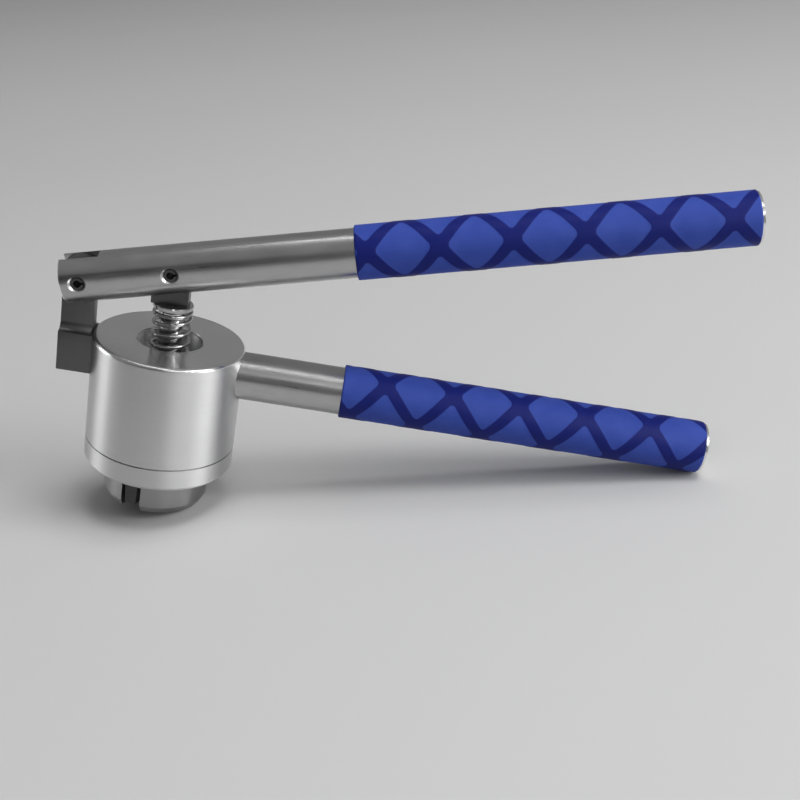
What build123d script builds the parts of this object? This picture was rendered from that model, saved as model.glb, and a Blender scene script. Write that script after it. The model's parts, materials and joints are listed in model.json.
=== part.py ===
"""Hand crimper for the aluminium caps of 20 mm vials, in millimetres.

Every piece is drawn in the tool's own frame: Z runs up the axis of the head from the mouth of the jaws, X points
along the lower handle, and Y is across. At the end the whole tool is laid down as it rests on a table, on the
rim of its jaws and the end of its lower grip, and its origin goes to the middle of its box, at the table.
"""
from build123d import *
from math import asin, atan2, cos, degrees, hypot, radians, sin
import os

# clearances
pick_gap = 0.01  # reach for finding an edge by its place
running_gap = 0.04  # radial, round pins and rods that turn or slide
loose_gap = 0.4  # between moving pieces that pass each other
stop_gap = 0.15  # left where two pieces meet at the end of the stroke
cam_gap = 0.15  # between the cone and the flats of the jaw tails

# head
body_r = 25.0
body_top = 57.2  # above the mouth of the jaws
body_foot = 21.0
rim_round = 1.3
foot_bevel = 0.25
groove_width = 0.3  # parting line between body and end ring
groove_depth = 1.0
well_r = 10.9  # open well round the return spring
well_depth = 11.0
well_bevel = 0.4
deck = 15.5  # solid top of the body
body_wall = 3.0  # round the chamber

# end ring
ring_foot = 12.8
ring_bevel = 1.5
spigot_height = 6.0

# jaws
jaw_count = 3
jaw_turn = 70.5  # direction of the first jaw, from the handle
jaw_gap = 7.0  # saw cut between two jaws
jaw_inset = 7.5  # from the body's wall to the jaws' wall
jaw_bevel_height = 2.3
jaw_bevel_width = 1.2
lip_r = 10.7  # open mouth, round a cap
lip_height = 1.5
cavity_r = 11.5
tail_top = 33.6
tail_height = 4.2
tail_lip = 1.0  # how far the tails reach inside their flats
pad_r = 8.65  # flats that the cone pushes outwards
jaw_closing = 4.5  # degrees that a jaw turns
pivot_outset = 1.5  # from the jaws' wall to the jaw pins
pivot_z = 24.0
jaw_pin_r = 1.5
jaw_pin_length = 14.0
lug_r = 2.1
lug_width = 7.0
lug_root = 2.0  # where the lug starts, outside the cavity
band_inset = 0.3  # rubber band round the tails, from the jaws' wall
band_wire_r = 1.0
spacer_inner = 12.5  # rubber spacers in the saw cuts
spacer_outer = 17.3
spacer_foot = 2.4
spacer_foot_half = 1.85
spacer_top_half = 2.75
band_z = 30.0
band_gap = 0.75

# anvil
anvil_z = 7.6  # depth of the mouth
pad_disc_r = 9.0
pad_disc_height = 2.5
pad_disc_bevel = 0.4
cup_r = 9.6
cup_bore_r = 7.5
cup_floor = 4.0
arm_width = 3.0
arm_height = 4.0
arm_hold = 1.4  # how far the arms go into the wall of the body
anvil_screw_r = 2.0
anvil_screw_head_r = 4.0
anvil_screw_length = 6.0

# plunger
rod_r = 3.8
rod_thread_r = 3.0
cone_height = 10.5
nut_width = 10.0
nut_height = 5.0
collar_r = 6.6
collar_height = 1.6
collar_bevel = 0.3
collar_z = 11.2  # underside, above the top of the body
blade_width = 12.0
blade_thickness = 6.0
blade_rise = 4.3  # above the plunger pin
blade_round = 3.0
bush_flange_r = 9.4
bush_flange = 1.5
bush_r = 6.4
spring_r = 6.7
spring_wire_r = 0.68
spring_turns = 5.5

# lever and handle, both of the same tube
tube_r = 8.0
tube_bore_r = 6.5
hinge_reach = 5.0  # from the body's wall to the hinge pin
hinge_rise = 16.6  # above the top of the body
lever_angle = 15.0  # open, at rest
lever_tail = 5.5  # left of the hinge pin
lever_slot_end = 7.3  # right of the hinge pin
slot_clearance = 0.2  # each side of the ear and of the blade
plunger_slot_half = 8.6
pin_r = 2.0
pin_length = 14.6
pin_bore_r = 1.2
pin_slit = 0.8
pin_countersink_r = 3.0
pin_slot_rise = 0.12  # play of the plunger pin along the plunger
handle_drop = 9.1  # axis of the handle, below the top of the body
handle_seat_depth = 2.1  # flat seat of the tube, below the body's wall
grip_wall = 1.0
grip_round = 0.5
lever_grip_start = 89.2  # from the hinge pin
lever_grip_length = 127.5
handle_bare = 33.8  # bare tube between the body's wall and the grip
handle_grip_length = 124.5
plug_length = 12.0
plug_head_r = 8.4
plug_rim = 0.7
plug_dome = 2.2
insert_length = 15.0
stud_r = 4.0
stud_length = 23.0
stud_bevel = 0.5

# bracket that carries the lever
block_drop = 14.4  # lower face, below the top of the body
block_height = 13.4
block_thickness = 12.0
block_left = 5.4  # left of the hinge pin
ear_right = 4.9  # right of the hinge pin
ear_thickness = 6.1
ear_round = 7.3
ear_fillet = 2.8
bracket_screw_drop = 8.0
bracket_screw_r = 2.5
bracket_screw_head_r = 4.25
bracket_screw_head = 5.0
bracket_screw_length = 16.0
hex_key_r = 2.3

# sizes and places that follow
chamber_r = body_r - body_wall
jaw_r = body_r - jaw_inset
ring_bore_r = jaw_r + loose_gap
pivot_r = jaw_r + pivot_outset
band_r = jaw_r - band_inset
arm_reach = chamber_r + arm_hold
hinge_x = -body_r - hinge_reach
pin_spacing = -hinge_x
handle_seat_x = body_r - handle_seat_depth
handle_grip_start = body_r + handle_bare
well_floor = body_top - well_depth
chamber_top = body_top - deck
handle_z = body_top - handle_drop
hinge_z = body_top + hinge_rise
lever_turn = radians(lever_angle)
lever_along = Vector(cos(lever_turn), 0, sin(lever_turn))
hinge_point = Vector(hinge_x, 0, hinge_z)
plunger_point = hinge_point + lever_along * pin_spacing
stroke = pin_spacing * sin(lever_turn)
jaw_swing = radians(jaw_closing)
jaw_half_cut = jaw_gap / 2
collar_foot = body_top + collar_z
collar_top = collar_foot + collar_height
grip_r = tube_r + grip_wall
handle_end = handle_grip_start + handle_grip_length
lever_end = lever_grip_start + lever_grip_length

# planes that the pieces are drawn on
lever_section = Plane(origin=hinge_point, x_dir=(0, 1, 0), z_dir=lever_along)
lever_side = Plane(origin=hinge_point, x_dir=lever_along, z_dir=(0, -1, 0))
handle_section = Plane(origin=(0, 0, handle_z), x_dir=(0, 1, 0), z_dir=(1, 0, 0))
jaw_turns = [jaw_turn + 360 / jaw_count * index for index in range(jaw_count)]
cut_turns = [turn + 180 / jaw_count for turn in jaw_turns]


def radial_plane(turn, height=0.0):
    """Flat plane at a height, whose X points outwards in the given direction."""
    outwards = (cos(radians(turn)), sin(radians(turn)), 0)
    return Plane(origin=(0, 0, height), x_dir=outwards, z_dir=(0, 0, 1))


def upright_plane(turn):
    """Plane through the head's axis, whose X points outwards and whose Y points up."""
    outwards = (cos(radians(turn)), sin(radians(turn)), 0)
    across = (sin(radians(turn)), -cos(radians(turn)), 0)
    return Plane(origin=(0, 0, 0), x_dir=outwards, z_dir=across)


# housing: a turned cup, open below, with the spring's well in its solid top
with BuildPart() as housing:
    with BuildSketch(Plane.XZ):
        with BuildLine():
            Polyline(
                (bush_r, chamber_top),
                (chamber_r, chamber_top),
                (chamber_r, body_foot),
                (body_r - foot_bevel, body_foot),
                (body_r, body_foot + foot_bevel),
                (body_r, body_top),
                (well_r + well_bevel, body_top),
                (well_r, body_top - well_bevel),
                (well_r, well_floor),
                (bush_r, well_floor),
                close=True,
            )
        make_face()
    revolve(axis=Axis.Z)
    rim = housing.edges().filter_by(GeomType.CIRCLE).group_by(Axis.Z)[-1].sort_by(SortBy.RADIUS)[-1]
    fillet(rim, radius=rim_round)
    with BuildSketch(handle_section.offset(handle_seat_x)):
        Circle(tube_r)
    extrude(amount=body_r, mode=Mode.SUBTRACT)
    with BuildSketch(handle_section.offset(handle_seat_x)):
        Circle(stud_r)
    extrude(amount=-(stud_length - insert_length), mode=Mode.SUBTRACT)
    with BuildSketch(Plane.YZ.offset(-body_r)):
        with Locations((0, body_top - bracket_screw_drop)):
            Circle(bracket_screw_r)
    extrude(amount=body_r - well_r - bracket_screw_r, mode=Mode.SUBTRACT)
housing.part.label = "housing"

# end ring: screws into the housing, carries the jaw pins and clamps the anvil's arms
with BuildPart() as end_ring:
    with BuildSketch(Plane.XZ):
        with BuildLine():
            Polyline(
                (ring_bore_r, ring_foot),
                (body_r - ring_bevel, ring_foot),
                (body_r, ring_foot + ring_bevel),
                (body_r, body_foot - groove_width),
                (body_r - groove_depth, body_foot - groove_width),
                (body_r - groove_depth, body_foot),
                (chamber_r, body_foot),
                (chamber_r, body_foot + spigot_height),
                (ring_bore_r, body_foot + spigot_height),
                close=True,
            )
        make_face()
    revolve(axis=Axis.Z)
    for turn in jaw_turns:
        with BuildSketch(radial_plane(turn, body_foot + loose_gap)):
            with Locations((chamber_r, 0)):
                Rectangle(chamber_r, lug_width + 2 * loose_gap)
        extrude(amount=spigot_height, mode=Mode.SUBTRACT)
        with BuildSketch(upright_plane(turn)):
            with Locations((pivot_r, pivot_z)):
                Circle(jaw_pin_r)
        extrude(amount=jaw_pin_length / 2, both=True, mode=Mode.SUBTRACT)
    for turn in cut_turns:
        with BuildSketch(radial_plane(turn, body_foot - arm_height)):
            with Locations((arm_reach / 2, 0)):
                Rectangle(arm_reach, arm_width)
        extrude(amount=arm_height + spigot_height, mode=Mode.SUBTRACT)
end_ring.part.label = "end_ring"


def make_jaw(turn, name):
    """One sector of the split collar: lip and cavity below, lug and pin hole outside, flat pad at its tail."""
    tail_foot = tail_top - tail_height
    apex = jaw_half_cut / sin(radians(180 / jaw_count))
    far = 2 * body_r
    far_turn = radians(180 / jaw_count)
    with BuildPart() as jaw:
        with BuildSketch(upright_plane(turn)):
            with BuildLine():
                Polyline(
                    (lip_r, 0),
                    (jaw_r - jaw_bevel_width, 0),
                    (jaw_r, jaw_bevel_height),
                    (jaw_r, tail_top),
                    (pad_r - tail_lip, tail_top),
                    (pad_r - tail_lip, tail_foot),
                    (cavity_r, tail_foot),
                    (cavity_r, lip_height + (cavity_r - lip_r)),
                    (lip_r, lip_height),
                    close=True,
                )
            make_face()
        revolve(axis=Axis.Z)
        with BuildSketch(upright_plane(turn)):
            with Locations((band_r, band_z)):
                Circle(band_wire_r + band_gap)
        revolve(axis=Axis.Z, mode=Mode.SUBTRACT)
        with BuildSketch(radial_plane(turn)):
            with BuildLine():
                Polyline(
                    (apex, 0),
                    (apex + far * cos(far_turn), far * sin(far_turn)),
                    (apex + far * cos(far_turn), -far * sin(far_turn)),
                    close=True,
                )
            make_face()
        extrude(amount=tail_top, mode=Mode.INTERSECT)
        with BuildSketch(radial_plane(turn, tail_foot)):
            Rectangle(2 * pad_r, 2 * body_r)
        extrude(amount=tail_height, mode=Mode.SUBTRACT)
        with BuildSketch(upright_plane(turn)):
            with Locations((pivot_r, pivot_z)):
                Circle(lug_r)
            with Locations(((cavity_r + lug_root + pivot_r) / 2, pivot_z)):
                Rectangle(pivot_r - cavity_r - lug_root, 2 * lug_r)
        extrude(amount=lug_width / 2, both=True)
        with BuildSketch(upright_plane(turn)):
            with Locations((pivot_r, pivot_z)):
                Circle(jaw_pin_r + running_gap)
        extrude(amount=lug_width, both=True, mode=Mode.SUBTRACT)
    jaw.part.label = name
    return jaw


jaws = [make_jaw(turn, f"jaw_{index + 1}") for index, turn in enumerate(jaw_turns)]

# jaw pins: one straight pin across each lug
with BuildPart() as jaw_pins:
    for turn in jaw_turns:
        with BuildSketch(upright_plane(turn)):
            with Locations((pivot_r, pivot_z)):
                Circle(jaw_pin_r)
        extrude(amount=jaw_pin_length / 2, both=True)
jaw_pins.part.label = "jaw_pins"

# rubber band in the grooves of the tails, which opens the jaws
with BuildPart() as jaw_band:
    with BuildSketch(Plane.XZ):
        with Locations((band_r, band_z)):
            Circle(band_wire_r)
    revolve(axis=Axis.Z)
jaw_band.part.label = "jaw_band"

# rubber spacers under the anvil's arms, which close the saw cuts; they narrow downwards, where the jaws move most
with BuildPart() as jaw_spacers:
    for turn in cut_turns:
        outwards = Vector(cos(radians(turn)), sin(radians(turn)), 0)
        with BuildSketch(Plane(origin=outwards * spacer_inner, x_dir=(-outwards.Y, outwards.X, 0), z_dir=outwards)):
            with BuildLine():
                Polyline(
                    (-spacer_foot_half, spacer_foot),
                    (spacer_foot_half, spacer_foot),
                    (spacer_top_half, body_foot - arm_height),
                    (-spacer_top_half, body_foot - arm_height),
                    close=True,
                )
            make_face()
        extrude(amount=spacer_outer - spacer_inner)
jaw_spacers.part.label = "jaw_spacers"

# anvil cup, held by three arms that run through the cuts between the jaws
cup_foot = anvil_z + pad_disc_height
with BuildPart() as anvil_cup:
    with BuildSketch(Plane.XY.offset(cup_foot)):
        Circle(cup_r)
    extrude(amount=body_foot - cup_foot)
    for turn in cut_turns:
        with BuildSketch(radial_plane(turn, body_foot - arm_height)):
            with Locations(((cup_bore_r + arm_reach) / 2, 0)):
                Rectangle(arm_reach - cup_bore_r, arm_width)
        extrude(amount=arm_height)
    with BuildSketch(Plane.XY.offset(cup_foot + cup_floor)):
        Circle(cup_bore_r)
    extrude(amount=body_foot, mode=Mode.SUBTRACT)
    with BuildSketch(Plane.XY.offset(cup_foot)):
        Circle(anvil_screw_r)
    extrude(amount=cup_floor, mode=Mode.SUBTRACT)
anvil_cup.part.label = "anvil_cup"

# anvil pad, which presses on the cap, and its countersunk screw
with BuildPart() as anvil_pad:
    with BuildSketch(Plane.XY.offset(anvil_z)):
        Circle(pad_disc_r)
    extrude(amount=pad_disc_height)
    chamfer(anvil_pad.edges().group_by(Axis.Z)[0], length=pad_disc_bevel)
    with Locations(Plane(origin=(0, 0, anvil_z), z_dir=(0, 0, -1))):
        CounterSinkHole(
            radius=anvil_screw_r,
            counter_sink_radius=anvil_screw_head_r,
            depth=pad_disc_height,
            counter_sink_angle=90,
        )
anvil_pad.part.label = "anvil_pad"

with BuildPart() as anvil_screw:
    with BuildSketch(Plane.XZ):
        with BuildLine():
            Polyline(
                (0, anvil_z),
                (anvil_screw_head_r, anvil_z),
                (anvil_screw_r, anvil_z + anvil_screw_head_r - anvil_screw_r),
                (anvil_screw_r, anvil_z + anvil_screw_length),
                (0, anvil_z + anvil_screw_length),
                close=True,
            )
        make_face()
    revolve(axis=Axis.Z)
anvil_screw.part.label = "anvil_screw"

# guide bush in the deck: the spring stands on its flange
with BuildPart() as guide_bush:
    with BuildSketch(Plane.XY.offset(chamber_top)):
        Circle(bush_r)
    extrude(amount=well_floor - chamber_top)
    with BuildSketch(Plane.XY.offset(well_floor)):
        Circle(bush_flange_r)
    extrude(amount=bush_flange)
    with BuildSketch(Plane.XY.offset(chamber_top)):
        Circle(rod_r + running_gap)
    extrude(amount=deck, mode=Mode.SUBTRACT)
guide_bush.part.label = "guide_bush"

# plunger: a blade with a cross slot for its pin, on a round rod
cone_top = chamber_top - stop_gap
cone_foot = cone_top - cone_height
nut_foot = cone_foot - nut_height
pin_slide = pin_spacing * (1 - cos(lever_turn))
blade_top = plunger_point.Z + blade_rise
with BuildPart() as plunger:
    with BuildSketch(Plane.XZ):
        with Locations((plunger_point.X, (collar_top + blade_top) / 2)):
            Rectangle(blade_width, blade_top - collar_top)
    extrude(amount=blade_thickness / 2, both=True)
    fillet(plunger.edges().filter_by(Axis.Y).group_by(Axis.Z)[-1], radius=blade_round)
    with BuildSketch(Plane.XY.offset(collar_top)):
        Circle(rod_r)
    extrude(amount=-(collar_top - cone_top))
    with BuildSketch(Plane.XY.offset(cone_top)):
        Circle(rod_thread_r)
    extrude(amount=-(cone_height + nut_height))
    with BuildSketch(Plane.XZ):
        with Locations((-pin_slide / 2, plunger_point.Z)):
            SlotCenterToCenter(pin_slide + 2 * pin_slot_rise, 2 * (pin_r + pin_slot_rise))
    extrude(amount=blade_thickness, both=True, mode=Mode.SUBTRACT)
plunger.part.label = "plunger"

# collar under the blade, which the spring pushes up
with BuildPart() as spring_collar:
    with BuildSketch(Plane.XY.offset(collar_foot)):
        Circle(collar_r)
        Circle(rod_r, mode=Mode.SUBTRACT)
    extrude(amount=collar_height)
    chamfer(spring_collar.edges().filter_by(GeomType.CIRCLE).group_by(SortBy.RADIUS)[-1], length=collar_bevel)
spring_collar.part.label = "spring_collar"

# cone that spreads the tails, and the nut that holds it
cam_slope = (tail_top - pivot_z) * sin(jaw_swing) / stroke
cone_at_pad = pad_r - cam_gap
with BuildPart() as spreader_cone:
    with BuildSketch(Plane.XZ):
        with BuildLine():
            Polyline(
                (rod_thread_r, cone_foot),
                (cone_at_pad - cam_slope * (tail_top - cone_foot), cone_foot),
                (cone_at_pad + cam_slope * (cone_top - tail_top), cone_top),
                (rod_thread_r, cone_top),
                close=True,
            )
        make_face()
    revolve(axis=Axis.Z)
spreader_cone.part.label = "spreader_cone"

with BuildPart() as cone_nut:
    with BuildSketch(Plane.XY.offset(nut_foot)):
        RegularPolygon(radius=nut_width / 2, side_count=6, major_radius=False)
        Circle(rod_thread_r, mode=Mode.SUBTRACT)
    extrude(amount=nut_height)
cone_nut.part.label = "cone_nut"

# return spring between the bush and the collar
spring_foot = well_floor + bush_flange + spring_wire_r
spring_height = collar_foot - spring_wire_r - spring_foot
with BuildPart() as return_spring:
    with BuildLine() as coil:
        Helix(
            pitch=spring_height / spring_turns,
            height=spring_height,
            radius=spring_r - spring_wire_r,
            center=(0, 0, spring_foot),
        )
    with BuildSketch(Plane(origin=coil.line @ 0, z_dir=coil.line % 0)):
        Circle(spring_wire_r)
    sweep(path=coil.line, is_frenet=True)
return_spring.part.label = "return_spring"

# bracket: a block against the housing, with an ear that carries the hinge pin
block_foot = body_top - block_drop
block_top = block_foot + block_height
block_x = hinge_x - block_left
bracket_screw_z = body_top - bracket_screw_drop
with BuildPart() as bracket:
    with BuildSketch(Plane.XZ):
        with Locations(((block_x - well_r) / 2, (block_foot + block_top) / 2)):
            Rectangle(-well_r - block_x, block_height)
    extrude(amount=block_thickness / 2, both=True)
    with BuildSketch(Plane.XZ):
        with Locations((hinge_x, hinge_z)):
            Circle(ear_round)
        with Locations((hinge_x, (block_foot + hinge_z) / 2)):
            Rectangle(2 * ear_round, hinge_z - block_foot)
        with Locations(((block_x + hinge_x + ear_right) / 2, (block_foot + hinge_z + ear_round) / 2)):
            Rectangle(block_left + ear_right, hinge_z + ear_round - block_foot, mode=Mode.INTERSECT)
    extrude(amount=ear_thickness / 2, both=True)
    roots = bracket.edges().filter_by(Axis.X).filter_by_position(Axis.Z, block_top - pick_gap, block_top + pick_gap)
    fillet([edge for edge in roots if abs(abs(edge.center().Y) - ear_thickness / 2) < pick_gap], radius=ear_fillet)
    with BuildSketch(Plane.XY.offset(block_foot)):
        Circle(body_r)
    extrude(amount=2 * block_height, mode=Mode.SUBTRACT)
    with BuildSketch(Plane.XZ):
        with Locations((hinge_x, hinge_z)):
            Circle(pin_r + running_gap)
    extrude(amount=block_thickness, both=True, mode=Mode.SUBTRACT)
    with Locations(Plane(origin=(block_x, 0, bracket_screw_z), x_dir=(0, 1, 0), z_dir=(-1, 0, 0))):
        CounterBoreHole(
            radius=bracket_screw_r,
            counter_bore_radius=bracket_screw_head_r,
            counter_bore_depth=bracket_screw_head,
            depth=2 * block_height,
        )
bracket.part.label = "bracket"

# cap screw that holds the bracket
with BuildPart() as bracket_screw:
    with BuildSketch(Plane.YZ.offset(block_x)):
        with Locations((0, bracket_screw_z)):
            Circle(bracket_screw_head_r)
            RegularPolygon(radius=hex_key_r, side_count=6, mode=Mode.SUBTRACT)
    extrude(amount=bracket_screw_head)
    with BuildSketch(Plane.YZ.offset(block_x + bracket_screw_head / 2)):
        with Locations((0, bracket_screw_z)):
            Circle(bracket_screw_head_r)
    extrude(amount=bracket_screw_head / 2)
    with BuildSketch(Plane.YZ.offset(block_x + bracket_screw_head)):
        with Locations((0, bracket_screw_z)):
            Circle(bracket_screw_r)
    extrude(amount=bracket_screw_length)
bracket_screw.part.label = "bracket_screw"


def make_tube(section, start, end, name):
    """Bare tube along the normal of its section plane."""
    with BuildPart() as tube:
        with BuildSketch(section.offset(start)):
            Circle(tube_r)
            Circle(tube_bore_r, mode=Mode.SUBTRACT)
        extrude(amount=end - start)
    tube.part.label = name
    return tube


def make_grip(section, start, length, name):
    """Moulded sleeve on the tube."""
    with BuildPart() as grip:
        with BuildSketch(section.offset(start)):
            Circle(grip_r)
        extrude(amount=length)
        fillet(grip.edges().filter_by(GeomType.CIRCLE), radius=grip_round)
        with BuildSketch(section.offset(start)):
            Circle(tube_r)
        extrude(amount=length, mode=Mode.SUBTRACT)
    grip.part.label = name
    return grip


def make_plug(section, end, name):
    """Plug in the tube's end, with a low spherical dome."""
    lengthwise = Plane(origin=section.origin + section.z_dir * end, x_dir=section.z_dir, z_dir=section.x_dir)
    dome_height = plug_dome - plug_rim
    dome_r = (dome_height**2 + plug_head_r**2) / (2 * dome_height)
    middle = asin(plug_head_r / dome_r) / 2
    with BuildPart() as plug:
        with BuildSketch(lengthwise):
            with BuildLine():
                Polyline(
                    (plug_dome, 0),
                    (-plug_length, 0),
                    (-plug_length, tube_bore_r),
                    (0, tube_bore_r),
                    (0, plug_head_r),
                    (plug_rim, plug_head_r),
                )
                ThreePointArc(
                    (plug_rim, plug_head_r),
                    (plug_dome - dome_r * (1 - cos(middle)), dome_r * sin(middle)),
                    (plug_dome, 0),
                )
            make_face()
        revolve(axis=Axis(section.origin, section.z_dir))
    plug.part.label = name
    return plug


# lower handle: tube, grip, plug, and the insert and stud that hold it in the housing
handle_tube = make_tube(handle_section, handle_seat_x, handle_end, "handle_tube")
handle_grip = make_grip(handle_section, handle_grip_start, handle_grip_length, "handle_grip")
handle_plug = make_plug(handle_section, handle_end, "handle_plug")

with BuildPart() as handle_insert:
    with BuildSketch(handle_section.offset(handle_seat_x)):
        Circle(tube_bore_r)
        Circle(stud_r, mode=Mode.SUBTRACT)
    extrude(amount=insert_length)
handle_insert.part.label = "handle_insert"

with BuildPart() as handle_stud:
    with BuildSketch(handle_section.offset(handle_seat_x + insert_length)):
        Circle(stud_r)
    extrude(amount=-stud_length)
    chamfer(handle_stud.edges().filter_by(GeomType.CIRCLE), length=stud_bevel)
handle_stud.part.label = "handle_stud"

# lever: the same tube, slotted for the bracket's ear and for the plunger's blade
lever_tube = make_tube(lever_section, -lever_tail, lever_end, "lever_tube")
with BuildPart() as slotted_tube:
    add(lever_tube.part)
    with BuildSketch(lever_side):
        with Locations(((lever_slot_end - lever_tail) / 2, 0)):
            Rectangle(lever_slot_end + lever_tail, 2 * tube_r)
    extrude(amount=ear_thickness / 2 + slot_clearance, both=True, mode=Mode.SUBTRACT)
    with BuildSketch(lever_side):
        with Locations((pin_spacing, -tube_r)):
            Rectangle(2 * plunger_slot_half, 2 * tube_r)
    extrude(amount=blade_thickness / 2 + slot_clearance, both=True, mode=Mode.SUBTRACT)
    for side in (-1, 1):
        for along in (0, pin_spacing):
            at = hinge_point + lever_along * along + Vector(0, side * tube_r, 0)
            with Locations(Plane(origin=at, x_dir=lever_along, z_dir=(0, side, 0))):
                CounterSinkHole(
                    radius=pin_r,
                    counter_sink_radius=pin_countersink_r,
                    depth=tube_r,
                    counter_sink_angle=90,
                )
lever_tube = slotted_tube
lever_tube.part.label = "lever_tube"
lever_grip = make_grip(lever_section, lever_grip_start, lever_grip_length, "lever_grip")
lever_plug = make_plug(lever_section, lever_end, "lever_plug")



def make_pin(along, name):
    """Rolled spring pin across the lever tube, with its slit towards the grip."""
    with BuildPart() as pin:
        with BuildSketch(lever_side):
            with Locations((along, 0)):
                Circle(pin_r)
                Circle(pin_bore_r, mode=Mode.SUBTRACT)
            with Locations((along + pin_r, 0)):
                Rectangle(2 * pin_r, pin_slit, mode=Mode.SUBTRACT)
        extrude(amount=pin_length / 2, both=True)
    pin.part.label = name
    return pin


hinge_pin = make_pin(0, "hinge_pin")
plunger_pin = make_pin(pin_spacing, "plunger_pin")

pieces = [
    housing, end_ring, jaw_pins, jaw_band, jaw_spacers, anvil_cup, anvil_pad, anvil_screw, guide_bush, return_spring,
    bracket, bracket_screw, handle_tube, handle_insert, handle_stud, handle_grip, handle_plug,
    lever_tube, lever_grip, lever_plug, hinge_pin, plunger_pin,
    plunger, spring_collar, spreader_cone, cone_nut,
    *jaws,
]

# lay the tool down on the rim of its jaws and the rounded end of its lower grip
foot_r = jaw_r - jaw_bevel_width
nearest_cut = radians(min(abs((turn + 180) % 360 - 180) for turn in cut_turns))
foot_corner = max(asin(jaw_half_cut / foot_r) - nearest_cut, 0)
foot_x = foot_r * cos(foot_corner)
grip_corner_x = handle_end - grip_round
grip_corner_z = handle_z - grip_r + grip_round
lean = atan2(grip_corner_z, grip_corner_x - foot_x)
lean -= asin(grip_round / hypot(grip_corner_z, grip_corner_x - foot_x))
lay_down = Location((0, 0, 0), (0, degrees(lean), 0))
box = Compound(children=[piece.part.moved(lay_down) for piece in pieces]).bounding_box()
rest = Location((-box.center().X, -box.center().Y, -box.min.Z)) * lay_down

os.makedirs("parts", exist_ok=True)
for piece in pieces:
    export_step(piece.part.moved(rest), f"parts/{piece.part.label}.step")
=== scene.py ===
"""Hand crimper: finishes, sleeves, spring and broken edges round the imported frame, on a plain stage."""
import json
from math import atan2, cos, pi, radians, sin, tau

import bpy
from mathutils import Matrix, Quaternion, Vector


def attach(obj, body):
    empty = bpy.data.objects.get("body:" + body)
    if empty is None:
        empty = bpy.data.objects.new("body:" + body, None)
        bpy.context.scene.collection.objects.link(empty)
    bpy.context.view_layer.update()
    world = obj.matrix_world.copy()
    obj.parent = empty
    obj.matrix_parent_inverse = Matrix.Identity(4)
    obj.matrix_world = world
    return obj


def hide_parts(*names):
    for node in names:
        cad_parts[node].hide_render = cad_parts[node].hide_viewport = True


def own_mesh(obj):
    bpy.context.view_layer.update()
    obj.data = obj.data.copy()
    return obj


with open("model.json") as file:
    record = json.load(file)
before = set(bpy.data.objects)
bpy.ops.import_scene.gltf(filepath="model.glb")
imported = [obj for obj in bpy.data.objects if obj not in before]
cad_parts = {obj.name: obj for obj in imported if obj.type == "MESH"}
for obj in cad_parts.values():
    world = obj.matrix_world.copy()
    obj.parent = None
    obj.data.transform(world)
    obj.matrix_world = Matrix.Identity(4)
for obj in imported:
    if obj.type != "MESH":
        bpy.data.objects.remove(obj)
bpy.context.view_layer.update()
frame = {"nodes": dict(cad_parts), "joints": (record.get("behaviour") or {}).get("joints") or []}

MM = 0.001

# driving sizes of the tool, in metres, in its own frame: Z goes up the head's axis from the mouth of the
# jaws, X along the lower handle
BODY_TOP = 57.2 * MM
HINGE_X = -30.0 * MM
HINGE_Z = 73.8 * MM
HANDLE_Z = 48.1 * MM
LEVER_ANGLE = radians(15.0)
TUBE_R = 8.0 * MM
GRIP_R = 9.0 * MM
SPRING_SEAT = 47.7 * MM
SPRING_TOP = 68.4 * MM
SPRING_R = 6.7 * MM
WIRE_R = 0.68 * MM

# along each tube: the lower one from the head's axis, the lever from its hinge; the lower one's left end
# is out of sight, so its painted end highlight is put on the axis
HANDLE_START = 0.0
LEVER_START = -5.5 * MM
HANDLE_GRIP = (58.8 * MM, 183.3 * MM)
LEVER_GRIP = (89.2 * MM, 216.7 * MM)

joints = {joint["name"]: joint for joint in frame["joints"]}
head_up = -Vector(joints["plunger_slide"]["axis"])
along_handle = Vector((0, 1, 0)).cross(head_up)
mouth = Vector(joints["lever_pivot"]["pos_m"]) - along_handle * HINGE_X - head_up * HINGE_Z


def frame_matrix(origin, x_axis, z_axis):
    """Matrix of a right-handed frame with these X and Z axes."""
    y_axis = z_axis.cross(x_axis)
    matrix = Matrix((x_axis, y_axis, z_axis)).transposed().to_4x4()
    matrix.translation = origin
    return matrix


TOOL = frame_matrix(mouth, along_handle, head_up)
HANDLE = frame_matrix(TOOL @ Vector((0, 0, HANDLE_Z)), along_handle, head_up)
LEVER = TOOL @ Matrix.Translation((HINGE_X, 0, HINGE_Z)) @ Matrix.Rotation(-LEVER_ANGLE, 4, "Y")
# lays what is made up the Z axis along X
LENGTHWISE = Matrix.Rotation(pi / 2, 4, "Y")

# camera, in the tool's frame
CAMERA_TARGET = Vector((78.8, 0, 48.1)) * MM
CAMERA_AZIMUTH = radians(-4.45)
CAMERA_HEIGHT = radians(24.08)
CAMERA_ROLL = radians(10.73)
CAMERA_DISTANCE = 406.7 * MM
CAMERA_LENS = 54.0
CAMERA_NEAR = 0.01

# marks in the finishes: how many to the metre, and how deep
LATHE_LINES = 9000.0
LATHE_BANDS = 700.0
LATHE_CLOUD = 55.0
LATHE_DEPTH = 0.003 * MM
STREAKS = (25.0, 1.0, 1.0)
FINE_STREAKS = (60.0, 4200.0, 4200.0)
BLOTCHES = (90.0, 260.0, 260.0)
STREAK_DEPTH = 0.006 * MM
SATIN_GRAIN = (400.0, 400.0, 3500.0)
SATIN_DEPTH = 0.005 * MM
GROUND_DEPTH = 0.01 * MM
RUBBER_PITS = 2500.0
RUBBER_DEPTH = 0.02 * MM
VINYL_PORES = 3800.0
VINYL_DEPTH = 0.06 * MM

# where the side's finish turns into the top face's, below the top, and how far a painted highlight
# reaches from a tube's cut end
TOP_EDGE = (1.2 * MM, 0.6 * MM)
END_HIGHLIGHT_SPAN = (0.05 * MM, 0.35 * MM)

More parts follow.
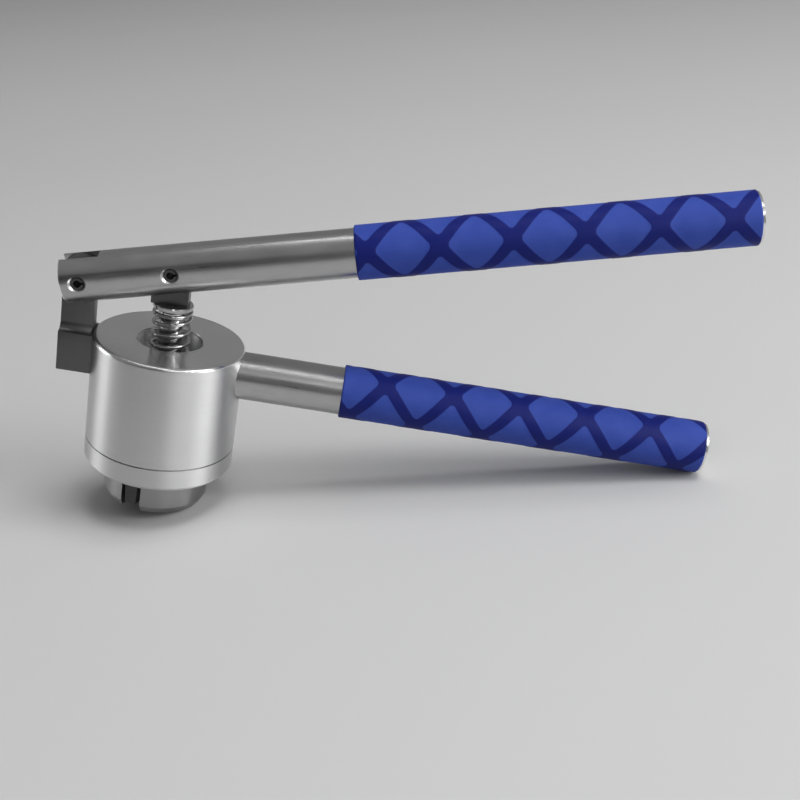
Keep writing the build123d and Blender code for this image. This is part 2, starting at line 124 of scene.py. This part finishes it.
# pattern of the sleeves: half the width of a band and the round of its corners, as shares of the pitch,
# how high the bands stand, and how softly their shade and their slope begin
BAND_SHARE = 0.105
CORNER_SHARE = 0.085
BAND_RISE = 0.12 * MM
BAND_SHADE = 0.012
BAND_SLOPE = 0.02
DIAMOND_BLUE = ((0.023, 0.051, 0.30, 1.0), (0.048, 0.086, 0.40, 1.0))
BAND_BLUE = ((0.003, 0.009, 0.12, 1.0), (0.008, 0.014, 0.16, 1.0))
VINYL_SHEEN = (0.45, 0.35, 1.0, 1.0)
# one crossing of two bands on each tube, along it and round it, and the pitch
HANDLE_PATTERN = (118.4 * MM, radians(53.0), 22.6 * MM)
LEVER_PATTERN = (161.9 * MM, radians(17.2), 23.0 * MM)

# sleeve: faces round it and their length, its rounded rim, and what it lacks so that it stays in its box
GRIP_STEPS = 180
GRIP_SECTION = 0.36 * MM
GRIP_RIM = 0.5 * MM
GRIP_SKIN = 0.01 * MM

# spring: its turns, the pitch of the closed ones, the wire's faces, and the angle at which it begins
END_TURNS = 1.0
OPEN_TURNS = 4.2
CLOSED_PITCH = 2 * WIRE_R * 1.02
WIRE_SIDES = 14
STEPS_PER_TURN = 30
WIRE_BEGINS = 0.6

# edges: the angle from which they stay sharp, that from which they are bevelled and with how many faces,
# and the angle below which two faces become one; then how near two points are one, there and on a seam
SMOOTH_ANGLE = radians(35)
BEVEL_ANGLE = radians(40)
BEVEL_SEGMENTS = 3
FLAT_ANGLE = radians(0.5)
SAME_POINT = 1e-6
SAME_SEAM_POINT = 1e-7

# stage, in metres
FLOOR_SIZE = 6.0
CARD_PLACE = (0, -0.55, 0.2)
CARD_SCALE = (2.4, 0.4, 1.0)
MIDDLE = (0, 0, 0.03)
HEAD_MIDDLE = (-0.09, 0, 0.04)
CEILING = (0.66, -0.2, 2.85)
CEILING_SIZE = (1.5, 1.1)
STRIP = (0.28, -0.46, 2.8)
STRIP_TARGET = (0.28, -0.46, 0)
STRIP_SIZE = (2.9, 0.12)
STRIP_ROLL = radians(-46)
SKY_LEVEL = 0.25
SKY_DIP = 0.2
BACKDROP_LEVEL = 0.58

# places of a Mix node's colour sockets
MIX_FACTOR, MIX_FIRST, MIX_SECOND, MIX_RESULT = 0, 6, 7, 2


def add_camera():
    """Camera at the photograph's viewing angle."""
    back = Vector((
        sin(CAMERA_AZIMUTH) * cos(CAMERA_HEIGHT),
        -cos(CAMERA_AZIMUTH) * cos(CAMERA_HEIGHT),
        sin(CAMERA_HEIGHT),
    ))
    level = (-back).cross(Vector((0, 0, 1))).normalized()
    right = level * cos(CAMERA_ROLL) + level.cross(-back) * sin(CAMERA_ROLL)
    data = bpy.data.cameras.new("view")
    data.lens = CAMERA_LENS
    data.clip_start = CAMERA_NEAR
    camera = bpy.data.objects.new("view", data)
    bpy.context.scene.collection.objects.link(camera)
    camera.matrix_world = TOOL @ frame_matrix(CAMERA_TARGET + back * CAMERA_DISTANCE, right, back)
    bpy.context.scene.camera = camera


class Value:
    """A socket that takes part in Python expressions; each operator adds its Math node."""

    def __init__(self, nodes, socket):
        self.nodes = nodes
        self.socket = socket

    def __add__(self, other):
        return self.nodes.math("ADD", self, other)

    def __radd__(self, other):
        return self.nodes.math("ADD", other, self)

    def __sub__(self, other):
        return self.nodes.math("SUBTRACT", self, other)

    def __rsub__(self, other):
        return self.nodes.math("SUBTRACT", other, self)

    def __mul__(self, other):
        return self.nodes.math("MULTIPLY", self, other)

    def __rmul__(self, other):
        return self.nodes.math("MULTIPLY", other, self)

    def __truediv__(self, other):
        return self.nodes.math("DIVIDE", self, other)

    def __rtruediv__(self, other):
        return self.nodes.math("DIVIDE", other, self)

    def __pow__(self, other):
        return self.nodes.math("POWER", self, other)

    def __rpow__(self, other):
        return self.nodes.math("POWER", other, self)


class Nodes:
    """A node tree, and the ways to add nodes to it."""

    def __init__(self, tree):
        self.tree = tree
        self.tree.nodes.clear()

    def node(self, kind, settings=None, **sockets):
        """Adds a node: its settings first, then the values or links of its sockets."""
        made = self.tree.nodes.new(kind)
        for key, value in (settings or {}).items():
            setattr(made, key, value)
        for key, value in sockets.items():
            self.put(made.inputs[key.replace("_", " ")], value)
        return made

    def put(self, socket, value):
        """Gives a socket a link or a value."""
        if isinstance(value, Value):
            value = value.socket
        if isinstance(value, bpy.types.NodeSocket):
            self.tree.links.new(value, socket)
        else:
            socket.default_value = value

    def math(self, operation, *terms):
        made = self.node("ShaderNodeMath", {"operation": operation})
        for socket, term in zip(made.inputs, terms):
            self.put(socket, term)
        return Value(self, made.outputs[0])

    def place(self, matrix, scale=(1, 1, 1)):
        """Coordinates of a point in the frame that the matrix gives, in metres, or scaled."""
        here = self.node("ShaderNodeTexCoord").outputs["Object"]
        turned = self.node(
            "ShaderNodeMapping",
            {"vector_type": "TEXTURE"},
            Vector=here,
            Location=matrix.translation,
            Rotation=matrix.to_euler(),
        ).outputs["Vector"]
        if scale == (1, 1, 1):
            return turned
        return self.node("ShaderNodeMapping", Vector=turned, Scale=scale).outputs["Vector"]

    def parts(self, vector):
        """The three coordinates of a vector as values."""
        split = self.node("ShaderNodeSeparateXYZ", Vector=vector)
        return [Value(self, socket) for socket in split.outputs]

    def noise(self, vector, scale, detail=2.0):
        made = self.node("ShaderNodeTexNoise", Vector=vector, Scale=scale, Detail=detail)
        return Value(self, made.outputs["Fac"])

    def soft_step(self, value, low, high):
        """0 below the low value, 1 above the high one, with a smooth way between them."""
        made = self.node(
            "ShaderNodeMapRange",
            {"interpolation_type": "SMOOTHSTEP"},
            Value=value,
            From_Min=low,
            From_Max=high,
        )
        return Value(self, made.outputs["Result"])

    def mix(self, factor, first, second):
        """Mix of two colours."""
        made = self.node("ShaderNodeMix", {"data_type": "RGBA"})
        self.put(made.inputs[MIX_FACTOR], factor)
        self.put(made.inputs[MIX_FIRST], first)
        self.put(made.inputs[MIX_SECOND], second)
        return made.outputs[MIX_RESULT]


class Finish(Nodes):
    """A material with one shader."""

    def __init__(self, name):
        self.material = bpy.data.materials.new(name)
        self.material.use_nodes = True
        super().__init__(self.material.node_tree)
        self.shader = self.node("ShaderNodeBsdfPrincipled")
        self.node("ShaderNodeOutputMaterial", Surface=self.shader.outputs["BSDF"])

    def bump(self, height, distance):
        made = self.node("ShaderNodeBump", Height=height, Distance=distance, Strength=1.0)
        self.put(self.shader.inputs["Normal"], made.outputs["Normal"])

    def set(self, **sockets):
        for key, value in sockets.items():
            self.put(self.shader.inputs[key.replace("_", " ")], value)


def grey(level):
    return (level, level, level, 1.0)


def turning_marks(finish, matrix):
    """A lathe's marks round the Z axis of a frame: fine lines, wider bands, and a soft cloud."""
    x, y, z = finish.parts(finish.place(matrix))
    from_axis = (x * x + y * y) ** 0.5
    ring = finish.node("ShaderNodeCombineXYZ", X=from_axis + z).outputs["Vector"]
    lines = finish.noise(ring, LATHE_LINES, 1.0)
    bands = finish.noise(ring, LATHE_BANDS)
    cloud = finish.noise(finish.place(matrix), LATHE_CLOUD, 3.0)
    return lines, bands, cloud


def turned_steel(name, tone, side_roughness, face_roughness=0.14):
    """Turned stainless steel of the head, whose marks spread a highlight up its side.

    The top face is smoother than the side.
    """
    finish = Finish(name)
    lines, bands, cloud = turning_marks(finish, TOOL)
    height = finish.parts(finish.place(TOOL))[2]
    face = finish.soft_step(height, BODY_TOP - TOP_EDGE[0], BODY_TOP - TOP_EDGE[1])
    rough = side_roughness - face * (side_roughness - face_roughness)
    finish.set(
        Base_Color=finish.mix(cloud * 0.6 + bands * 0.4, grey(tone * 0.93), grey(tone * 1.07)),
        Metallic=1.0,
        Roughness=rough + lines * 0.05 + bands * 0.03 + cloud * 0.03,
        Anisotropic=0.9,
        Anisotropic_Rotation=0.25,
    )
    finish.bump(lines, LATHE_DEPTH)
    return finish.material


def turned_plug(name, matrix):
    """Polished end plug of a tube, turned about the tube's axis."""
    finish = Finish(name)
    lines, bands, cloud = turning_marks(finish, matrix @ LENGTHWISE)
    finish.set(
        Base_Color=finish.mix(cloud * 0.6 + bands * 0.4, grey(0.76), grey(0.88)),
        Metallic=1.0,
        Roughness=0.2 + lines * 0.05 + bands * 0.04,
    )
    finish.bump(lines, LATHE_DEPTH)
    return finish.material


def drawn_tube(name, matrix, start):
    """Stainless tube, polished lengthwise, so its streaks run along it, with a painted highlight at its
    cut end.
    """
    finish = Finish(name)
    streaks = finish.noise(finish.place(matrix, STREAKS), 1.0, 1.0)
    fine = finish.noise(finish.place(matrix, FINE_STREAKS), 1.0)
    blotch = finish.noise(finish.place(matrix, BLOTCHES), 1.0, 3.0)
    along = finish.parts(finish.place(matrix))[0]
    # painted highlight: the tube is coloured near white for a fraction of a millimetre at its end, for
    # the bright rim that light gives it
    end_highlight = 1.0 - finish.soft_step(along, start + END_HIGHLIGHT_SPAN[0], start + END_HIGHLIGHT_SPAN[1])
    finish.set(
        Base_Color=finish.mix(end_highlight, finish.mix(blotch, grey(0.40), grey(0.52)), grey(0.95)),
        Metallic=1.0,
        Roughness=0.2 + fine * 0.1 + blotch * 0.08 + streaks * 0.02,
    )
    finish.bump(fine, STREAK_DEPTH)
    return finish.material


def satin_steel(name, tone, roughness=0.3):
    """Milled steel with a fine satin grain."""
    finish = Finish(name)
    grain = finish.noise(finish.place(TOOL, SATIN_GRAIN), 1.0)
    cloud = finish.noise(finish.place(TOOL), 120.0, 3.0)
    finish.set(
        Base_Color=finish.mix(cloud, grey(tone * 0.85), grey(tone * 1.1)),
        Metallic=1.0,
        Roughness=roughness + grain * 0.12 + cloud * 0.06,
    )
    finish.bump(grain, SATIN_DEPTH)
    return finish.material


def rubber(name, tone):
    """Black rubber with a dull, finely pitted skin."""
    finish = Finish(name)
    pits = finish.noise(finish.place(TOOL), RUBBER_PITS)
    cloud = finish.noise(finish.place(TOOL), 200.0, 3.0)
    finish.set(
        Base_Color=finish.mix(cloud, grey(tone * 0.8), grey(tone * 1.2)),
        Roughness=0.55 + pits * 0.15,
        Specular_IOR_Level=0.4,
    )
    finish.bump(pits, RUBBER_DEPTH)
    return finish.material


def plunger_steel():
    """Plunger: dark milled blade above the collar, ground and polished rod below it."""
    finish = Finish("plunger_steel")
    height = finish.parts(finish.place(TOOL))[2]
    blade = finish.soft_step(height, SPRING_TOP, SPRING_TOP + 1.0 * MM)
    cloud = finish.noise(finish.place(TOOL), 300.0, 3.0)
    finish.set(
        Base_Color=finish.mix(blade, grey(0.62), finish.mix(cloud, grey(0.07), grey(0.12))),
        Metallic=1.0,
        Roughness=0.12 + blade * 0.2 + cloud * 0.08,
    )
    finish.bump(cloud, GROUND_DEPTH)
    return finish.material


def spring_steel():
    """Polished spring wire."""
    finish = Finish("spring_wire_steel")
    cloud = finish.noise(finish.place(TOOL), 500.0)
    finish.set(
        Base_Color=finish.mix(cloud, grey(0.35), grey(0.52)),
        Metallic=1.0,
        Roughness=0.1 + cloud * 0.12,
    )
    finish.bump(cloud, GROUND_DEPTH)
    return finish.material


def grip_vinyl(name, matrix, pattern):
    """Royal blue sleeve: matt diamonds between darker, smoother crossed bands."""
    start, turn, pitch = pattern
    finish = Finish(name)
    x, y, z = finish.parts(finish.place(matrix))
    angle = finish.math("ARCTAN2", z, y * -1.0)
    steps = (x - start) / pitch
    half_turns = (angle - turn) / pi
    first = finish.math("ABSOLUTE", finish.math("FRACT", steps + half_turns) - 0.5)
    second = finish.math("ABSOLUTE", finish.math("FRACT", steps - half_turns) - 0.5)
    reach = 0.5 - BAND_SHARE - CORNER_SHARE
    out_first = finish.math("MAXIMUM", first - reach, 0.0)
    out_second = finish.math("MAXIMUM", second - reach, 0.0)
    edge = (out_first * out_first + out_second * out_second) ** 0.5 - CORNER_SHARE
    band = finish.soft_step(edge, -BAND_SHADE, BAND_SHADE)
    cloud = finish.noise(finish.place(matrix), 160.0, 4.0)
    pores = finish.noise(finish.place(matrix), VINYL_PORES)
    finish.set(
        Base_Color=finish.mix(band, finish.mix(cloud, *DIAMOND_BLUE), finish.mix(cloud, *BAND_BLUE)),
        Roughness=0.52 + pores * 0.14 - band * 0.12,
        Specular_IOR_Level=0.13,
        Sheen_Weight=0.04,
        Sheen_Roughness=0.4,
        Sheen_Tint=VINYL_SHEEN,
    )
    finish.bump(pores * (1.0 - band * 0.8), VINYL_DEPTH)
    return finish.material


def grip_band(x, angle, pattern):
    """How far into a band a point of a sleeve is, from 0 in a diamond to 1 on a band."""
    start, turn, pitch = pattern
    steps = (x - start) / pitch
    half_turns = (angle - turn) / pi
    reach = 0.5 - BAND_SHARE - CORNER_SHARE
    shares = (steps + half_turns, steps - half_turns)
    out = [max(abs((share % 1.0) - 0.5) - reach, 0.0) for share in shares]
    edge = (out[0] ** 2 + out[1] ** 2) ** 0.5 - CORNER_SHARE
    share = min(max((edge + BAND_SLOPE) / (2 * BAND_SLOPE), 0.0), 1.0)
    return share * share * (3 - 2 * share)


def deselect():
    if bpy.context.mode != "OBJECT":
        bpy.ops.object.mode_set(mode="OBJECT")
    bpy.ops.object.select_all(action="DESELECT")


def select_only(*pieces):
    """Selects these pieces and nothing else; the first is the active one."""
    deselect()
    for piece in pieces:
        piece.select_set(True)
    bpy.context.view_layer.objects.active = pieces[0]


def settle(piece, matrix):
    """Puts the selected piece where the matrix says, with its place in its mesh."""
    piece.matrix_world = matrix
    bpy.ops.object.transform_apply(location=True, rotation=True, scale=True)


def lathe(name, outline, steps, matrix):
    """Turns an outline of (radius, height) points about the local Z, and places it by the matrix."""
    deselect()
    bpy.ops.mesh.primitive_plane_add(size=MM)
    piece = bpy.context.object
    piece.name = name
    bpy.ops.object.mode_set(mode="EDIT")
    bpy.ops.mesh.merge(type="CENTER")
    bpy.ops.mesh.select_all(action="SELECT")
    bpy.ops.transform.translate(value=(outline[0][0], 0, outline[0][1]))
    for (r0, z0), (r1, z1) in zip(outline, outline[1:]):
        bpy.ops.mesh.extrude_vertices_move(TRANSFORM_OT_translate={"value": (r1 - r0, 0, z1 - z0)})
    bpy.ops.mesh.select_all(action="SELECT")
    bpy.ops.mesh.spin(steps=steps, angle=tau, center=(0, 0, 0), axis=(0, 0, 1), use_auto_merge=True)
    bpy.ops.mesh.select_all(action="SELECT")
    bpy.ops.mesh.remove_doubles(threshold=SAME_SEAM_POINT)
    bpy.ops.mesh.normals_make_consistent(inside=False)
    bpy.ops.object.mode_set(mode="OBJECT")
    settle(piece, matrix)
    return piece


def finish_piece(piece, material, body, node):
    """Smooth shading, finish, body and slot of a piece, and the node that it stands for."""
    piece.data.materials.clear()
    piece.data.materials.append(material)
    select_only(piece)
    bpy.ops.object.shade_smooth_by_angle(angle=SMOOTH_ANGLE)
    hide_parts(node)
    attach(piece, body)


def make_grip(name, node, matrix, span, pattern, body):
    """Sleeve whose diamonds lie a little below its bands.

    It is turned at the diamonds' level, and then its bands are pushed out.
    """
    start, end = span
    length = end - start
    low = GRIP_R - BAND_RISE - GRIP_SKIN
    rim = GRIP_RIM
    quarter = [radians(angle) for angle in (0, 30, 60, 90)]
    sections = int((length - 2 * rim) / GRIP_SECTION)
    step = (length - 2 * rim) / sections
    outline = [(TUBE_R, 0)]
    outline += [(low - rim + rim * sin(a), rim - rim * cos(a)) for a in quarter]
    outline += [(low, rim + step * index) for index in range(1, sections)]
    outline += [(low - rim + rim * cos(a), length - rim + rim * sin(a)) for a in quarter]
    outline += [(TUBE_R, length)]
    lying = matrix @ Matrix.Translation((start, 0, 0)) @ LENGTHWISE
    piece = lathe(name, outline, GRIP_STEPS, lying)
    back = matrix.inverted()
    raised = piece.vertex_groups.new(name="bands")
    for vertex in piece.data.vertices:
        local = back @ vertex.co
        radius = (local.y ** 2 + local.z ** 2) ** 0.5
        if radius > low - rim / 4:
            share = grip_band(local.x, atan2(local.z, -local.y), pattern)
            raised.add([vertex.index], share, "REPLACE")
    lift = piece.modifiers.new("lift", "DISPLACE")
    lift.vertex_group = "bands"
    lift.strength = BAND_RISE
    lift.mid_level = 0.0
    select_only(piece)
    bpy.ops.object.modifier_apply(modifier="lift")
    finish_piece(piece, grip_vinyl(name + "_vinyl", matrix, pattern), body, node)


def wire_turns(start, turns, rise, angle):
    """One stretch of the spring: the wire's section, screwed up round Z from a height and an angle."""
    deselect()
    bpy.ops.mesh.primitive_circle_add(vertices=WIRE_SIDES, radius=WIRE_R, rotation=(pi / 2, 0, 0))
    piece = bpy.context.object
    begin = Matrix.Rotation(angle, 4, "Z") @ Matrix.Translation((SPRING_R - WIRE_R, 0, start))
    settle(piece, begin @ piece.matrix_world)
    screw = piece.modifiers.new("turns", "SCREW")
    screw.angle = tau * turns
    screw.screw_offset = rise
    screw.steps = screw.render_steps = round(STEPS_PER_TURN * turns)
    screw.use_merge_vertices = False
    bpy.ops.object.modifier_apply(modifier="turns")
    return piece


def make_spring():
    """Compression spring round the plunger's rod: open turns between closed end turns."""
    length = SPRING_TOP - SPRING_SEAT
    open_rise = length - 2 * WIRE_R - 2 * CLOSED_PITCH
    top_start = length - WIRE_R - CLOSED_PITCH
    seat = wire_turns(WIRE_R, END_TURNS, CLOSED_PITCH, WIRE_BEGINS)
    middle = wire_turns(WIRE_R + CLOSED_PITCH, OPEN_TURNS, open_rise, WIRE_BEGINS)
    top = wire_turns(top_start, END_TURNS, CLOSED_PITCH, WIRE_BEGINS + tau * OPEN_TURNS)
    select_only(seat, middle, top)
    bpy.ops.object.join()
    piece = bpy.context.object
    piece.name = "return_coil"
    bpy.ops.object.mode_set(mode="EDIT")
    bpy.ops.mesh.select_all(action="SELECT")
    bpy.ops.mesh.remove_doubles(threshold=SAME_POINT)
    bpy.ops.mesh.select_all(action="DESELECT")
    bpy.ops.mesh.select_non_manifold()
    bpy.ops.mesh.edge_face_add()
    bpy.ops.mesh.select_all(action="SELECT")
    bpy.ops.mesh.normals_make_consistent(inside=False)
    bpy.ops.object.mode_set(mode="OBJECT")
    settle(piece, TOOL @ Matrix.Translation((0, 0, SPRING_SEAT)))
    finish_piece(piece, spring_steel(), "head", "return_spring")
    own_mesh(piece)


def soften_edges(node, width, material, body):
    """Merged copy of a carried-over piece with its edges broken, as milling and deburring leave them."""
    source = frame["nodes"][node]
    piece = bpy.data.objects.new(node + "_soft", source.data.copy())
    bpy.context.scene.collection.objects.link(piece)
    select_only(piece)
    settle(piece, source.matrix_world)
    bpy.ops.mesh.customdata_custom_splitnormals_clear()
    bpy.ops.object.mode_set(mode="EDIT")
    bpy.ops.mesh.select_all(action="SELECT")
    bpy.ops.mesh.remove_doubles(threshold=SAME_POINT)
    bpy.ops.mesh.dissolve_limited(angle_limit=FLAT_ANGLE)
    bpy.ops.object.mode_set(mode="OBJECT")
    edge = piece.modifiers.new("edge", "BEVEL")
    edge.width = width
    edge.segments = BEVEL_SEGMENTS
    edge.limit_method = "ANGLE"
    edge.angle_limit = BEVEL_ANGLE
    edge.use_clamp_overlap = True
    bpy.ops.object.modifier_apply(modifier="edge")
    finish_piece(piece, material, body, node)


def set_finish(material, *nodes):
    """Gives carried-over pieces their finish."""
    for node in nodes:
        data = frame["nodes"][node].data
        data.materials.clear()
        data.materials.append(material)


def soft_light(name, place, size, target, power, diffuse=True, glossy=True, roll=0.0):
    """Rectangular studio light, aimed at a point, for dull surfaces, for reflections or for both."""
    data = bpy.data.lights.new(name, "AREA")
    data.shape = "RECTANGLE"
    data.size, data.size_y = size
    data.energy = power
    lamp = bpy.data.objects.new(name, data)
    bpy.context.scene.collection.objects.link(lamp)
    lamp.visible_camera = False
    lamp.visible_diffuse = diffuse
    lamp.visible_glossy = glossy
    lamp.location = place
    aim = (Vector(place) - Vector(target)).to_track_quat("Z", "Y")
    lamp.rotation_euler = (aim @ Quaternion((0, 0, 1), roll)).to_euler()


def add_lights():
    """A broad lamp overhead for dull surfaces, one at the right, and four seen only in reflections."""
    soft_light("overhead", CEILING, CEILING_SIZE, MIDDLE, power=47.0, glossy=False)
    soft_light("ceiling", CEILING, CEILING_SIZE, MIDDLE, power=13.0, diffuse=False)
    soft_light("strip", STRIP, STRIP_SIZE, STRIP_TARGET, power=8.0, diffuse=False, roll=STRIP_ROLL)
    soft_light("right_window", (0.95, -0.45, 0.55), (0.6, 0.9), HEAD_MIDDLE, power=9.5)
    soft_light("left_window", (-1.1, 0.15, 0.45), (0.45, 0.7), HEAD_MIDDLE, power=2.7, diffuse=False)
    soft_light("front_window", (0.5, -0.95, 0.5), (0.7, 0.7), HEAD_MIDDLE, power=4.0, diffuse=False)


def matt_paint(name, dark, light):
    """Dull paint with a faint cloud, for floor and card."""
    finish = Finish(name)
    cloud = finish.noise(finish.node("ShaderNodeTexCoord").outputs["Object"], 3.0)
    finish.set(Base_Color=finish.mix(cloud, grey(dark), grey(light)), Roughness=0.9)
    return finish


def add_floor():
    deselect()
    bpy.ops.mesh.primitive_plane_add(size=FLOOR_SIZE, location=(0, 0, 0))
    floor = bpy.context.object
    floor.name = "floor"
    paint = matt_paint("floor_paint", 0.55, 0.58)
    paint.set(Specular_IOR_Level=0.1)
    floor.data.materials.append(paint.material)


def add_card():
    """Dark card in front of the tool, which only its reflections show."""
    deselect()
    bpy.ops.mesh.primitive_plane_add(size=1.0, location=CARD_PLACE, rotation=(radians(90), 0, 0))
    card = bpy.context.object
    card.name = "dark_card"
    card.scale = CARD_SCALE
    bpy.ops.object.transform_apply(location=True, rotation=True, scale=True)
    card.data.materials.append(matt_paint("card_black", 0.03, 0.05).material)
    card.visible_camera = False
    card.visible_diffuse = False
    card.visible_shadow = False


def add_sky():
    """Grey surroundings, darker low in front, and an even pale backdrop for the camera."""
    world = bpy.data.worlds.new("studio")
    world.use_nodes = True
    sky = Nodes(world.node_tree)
    y, z = sky.parts(sky.node("ShaderNodeTexCoord").outputs["Generated"])[1:]
    front = sky.soft_step(y * -1.0, -0.1, 0.5)
    low = 1.0 - sky.soft_step(z, 0.05, 0.6)
    level = SKY_LEVEL - front * low * SKY_DIP
    seen = Value(sky, sky.node("ShaderNodeLightPath").outputs["Is Camera Ray"])
    level = level + seen * (BACKDROP_LEVEL - level)
    backdrop = sky.node("ShaderNodeBackground", Color=level, Strength=1.0)
    sky.node("ShaderNodeOutputWorld", Surface=backdrop.outputs["Background"])
    bpy.context.scene.world = world


add_camera()
add_floor()
add_sky()
add_lights()
add_card()

set_finish(turned_steel("turned_steel", tone=0.72, side_roughness=0.33), "housing", "end_ring")
set_finish(turned_plug("handle_plug_steel", HANDLE), "handle_plug")
set_finish(turned_plug("lever_plug_steel", LEVER), "lever_plug")
# the jaws get the head's steel at half its tone: painted shade, for the dark shadowed floor under the
# head that they reflect
set_finish(turned_steel("jaw_steel_painted_shade", tone=0.36, side_roughness=0.26), "jaw_1", "jaw_2", "jaw_3")
set_finish(drawn_tube("handle_tube_steel", HANDLE, HANDLE_START), "handle_tube")
set_finish(plunger_steel(), "plunger")
set_finish(satin_steel("collar_steel", tone=0.5, roughness=0.1), "spring_collar", "spreader_cone")
# the anvil's near-black tone is painted shade, for the dark inside of the jaws' mouth
set_finish(satin_steel("anvil_steel_painted_shade", tone=0.1), "anvil_cup", "anvil_pad")
set_finish(satin_steel("pin_steel", tone=0.1), "hinge_pin", "plunger_pin", "jaw_pins",
           "bracket_screw", "anvil_screw", "cone_nut", "handle_stud", "handle_insert")
set_finish(satin_steel("bush_metal", tone=0.3), "guide_bush")
set_finish(rubber("band_rubber", tone=0.03), "jaw_band")
# the spacers are black rubber; their near-black tone is also painted shade, for the dark gap between the
# jaws
set_finish(rubber("spacer_rubber_painted_shade", tone=0.07), "jaw_spacers")
soften_edges("bracket", 0.35 * MM, satin_steel("bracket_steel", tone=0.13), "head")
soften_edges("lever_tube", 0.4 * MM, drawn_tube("lever_tube_steel", LEVER, LEVER_START), "lever")

make_grip("lever_sleeve", "lever_grip", LEVER, LEVER_GRIP, LEVER_PATTERN, "lever")
make_grip("handle_sleeve", "handle_grip", HANDLE, HANDLE_GRIP, HANDLE_PATTERN, "head")
make_spring()

bpy.context.scene.view_settings.view_transform = "Standard"
